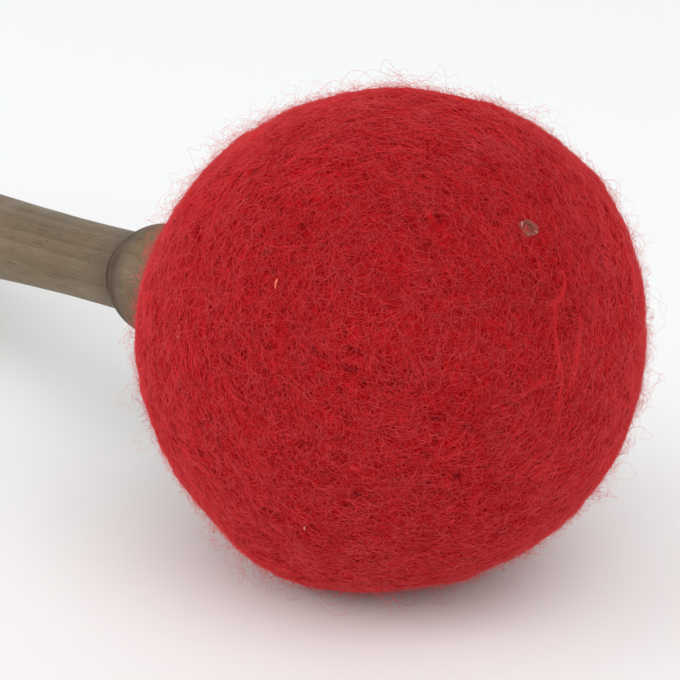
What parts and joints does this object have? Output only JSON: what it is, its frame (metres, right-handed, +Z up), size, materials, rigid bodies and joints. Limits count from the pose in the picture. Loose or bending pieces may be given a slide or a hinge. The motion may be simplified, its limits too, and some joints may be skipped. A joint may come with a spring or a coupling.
{
  "type": "singing bowl mallet",
  "caption": "Striking and rubbing mallet with a felted wool ball head on a turned wooden handle, its collar beaded below the head.",
  "frame": {"origin": "centre of the bounding box's base, on the table that the mallet lies on", "axes": "+X from the handle's butt towards the head, +Z up from the table"},
  "size_m": [0.2822, 0.0752, 0.0746],
  "materials": {
    "red_felt": "felted wool dyed red, matt, with loose fibres standing off its surface",
    "undyed_wool": "undyed wool packed round the core",
    "handle_wood": "grey-brown turned hardwood, thin satin stain, darker in the grooves",
    "core_wood": "bare wood, as turned",
    "wedge_wood": "bare split hardwood"
  },
  "bodies": {
    "root": {"felt_cover": "red_felt", "wool_wadding": "undyed_wool", "head_core": "core_wood", "tenon_wedge": "wedge_wood", "handle": "handle_wood"}
  },
  "joints": []
}
